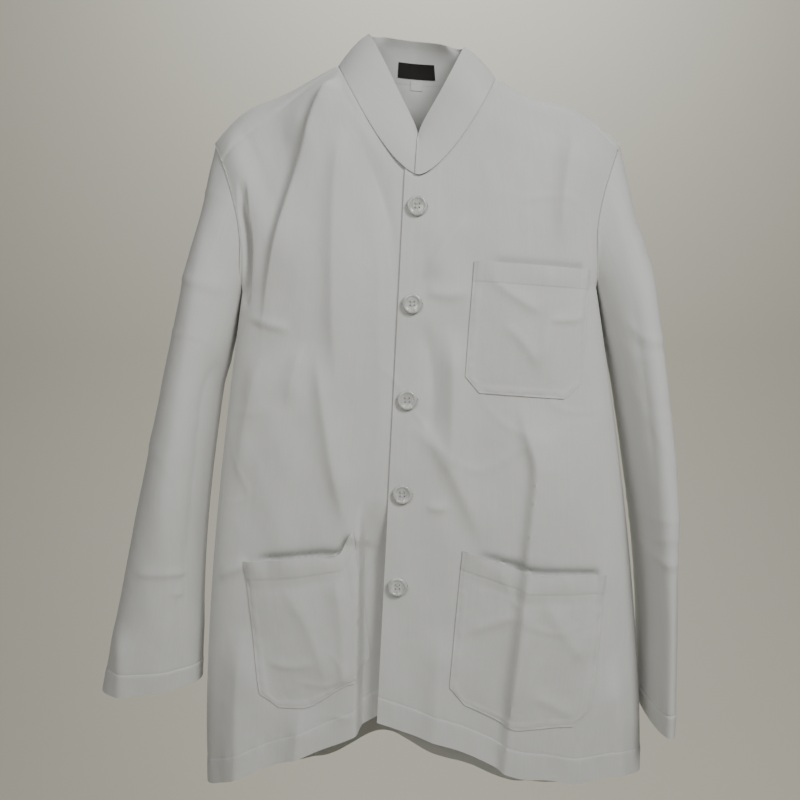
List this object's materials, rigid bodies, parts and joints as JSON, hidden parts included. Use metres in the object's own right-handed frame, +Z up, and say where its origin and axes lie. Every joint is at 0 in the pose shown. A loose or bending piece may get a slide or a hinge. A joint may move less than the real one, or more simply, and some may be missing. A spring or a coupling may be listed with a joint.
{
  "type": "lab coat",
  "caption": "Hip-length white lab coat with a stand collar, long sleeves, a buttoned front, a chest pocket and two hip pockets.",
  "frame": {"origin": "the middle of the back neck seam, where a hanger's neck holds the coat", "axes": "+Z up along the coat's length, -Y out of the front, +X towards the wearer's left"},
  "size_m": [0.6206, 0.1434, 0.8245],
  "materials": {
    "coat_cloth": "plain-weave polyester-cotton, pressed",
    "interlining": "fusible non-woven",
    "sewing_thread": "spun polyester thread",
    "button_resin": "cast polyester resin, polished, slightly clear",
    "woven_label": "black satin-woven label, plain",
    "label_tape": "white printed-label tape, plain"
  },
  "bodies": {
    "torso": {"back_panel": "coat_cloth", "left_front": "coat_cloth", "right_front": "coat_cloth", "left_front_facing": "coat_cloth", "right_front_facing": "coat_cloth", "collar_outer": "coat_cloth", "collar_lining": "coat_cloth", "chest_pocket": "coat_cloth", "left_hip_pocket": "coat_cloth", "right_hip_pocket": "coat_cloth", "left_front_interlining": "interlining", "right_front_interlining": "interlining", "collar_interlining": "interlining", "neck_label": "woven_label", "size_tab": "label_tape", "thread_shank_1": "sewing_thread", "thread_shank_2": "sewing_thread", "thread_shank_3": "sewing_thread", "thread_shank_4": "sewing_thread", "thread_shank_5": "sewing_thread", "buttonhole_1": "sewing_thread", "buttonhole_2": "sewing_thread", "buttonhole_3": "sewing_thread", "buttonhole_4": "sewing_thread", "buttonhole_5": "sewing_thread"},
    "left_sleeve": {"left_sleeve": "coat_cloth"},
    "right_sleeve": {"right_sleeve": "coat_cloth"},
    "button_1": {"button_1": "button_resin", "button_thread_1": "sewing_thread"},
    "button_2": {"button_2": "button_resin", "button_thread_2": "sewing_thread"},
    "button_3": {"button_3": "button_resin", "button_thread_3": "sewing_thread"},
    "button_4": {"button_4": "button_resin", "button_thread_4": "sewing_thread"},
    "button_5": {"button_5": "button_resin", "button_thread_5": "sewing_thread"}
  },
  "joints": [
    {"name": "left_sleeve_lift", "type": "hinge", "parent": "torso", "child": "left_sleeve", "pos_m": [0.212, 0, -0.066], "axis": [0, -1, 0], "range_deg": [0, 80]},
    {"name": "right_sleeve_lift", "type": "hinge", "parent": "torso", "child": "right_sleeve", "pos_m": [-0.212, 0, -0.066], "axis": [0, 1, 0], "range_deg": [0, 80]},
    {"name": "button_1_turn", "type": "hinge", "parent": "torso", "child": "button_1", "pos_m": [-0.002, -0.04993, -0.132], "axis": [0, -1, 0], "range_deg": [-40, 40]},
    {"name": "button_2_turn", "type": "hinge", "parent": "torso", "child": "button_2", "pos_m": [-0.00806, -0.05782, -0.229], "axis": [0, -1, 0], "range_deg": [-40, 40]},
    {"name": "button_3_turn", "type": "hinge", "parent": "torso", "child": "button_3", "pos_m": [-0.01413, -0.05964, -0.326], "axis": [0, -1, 0], "range_deg": [-40, 40]},
    {"name": "button_4_turn", "type": "hinge", "parent": "torso", "child": "button_4", "pos_m": [-0.02019, -0.06151, -0.423], "axis": [0, -1, 0], "range_deg": [-40, 40]},
    {"name": "button_5_turn", "type": "hinge", "parent": "torso", "child": "button_5", "pos_m": [-0.02625, -0.06338, -0.52], "axis": [0, -1, 0], "range_deg": [-40, 40]}
  ]
}
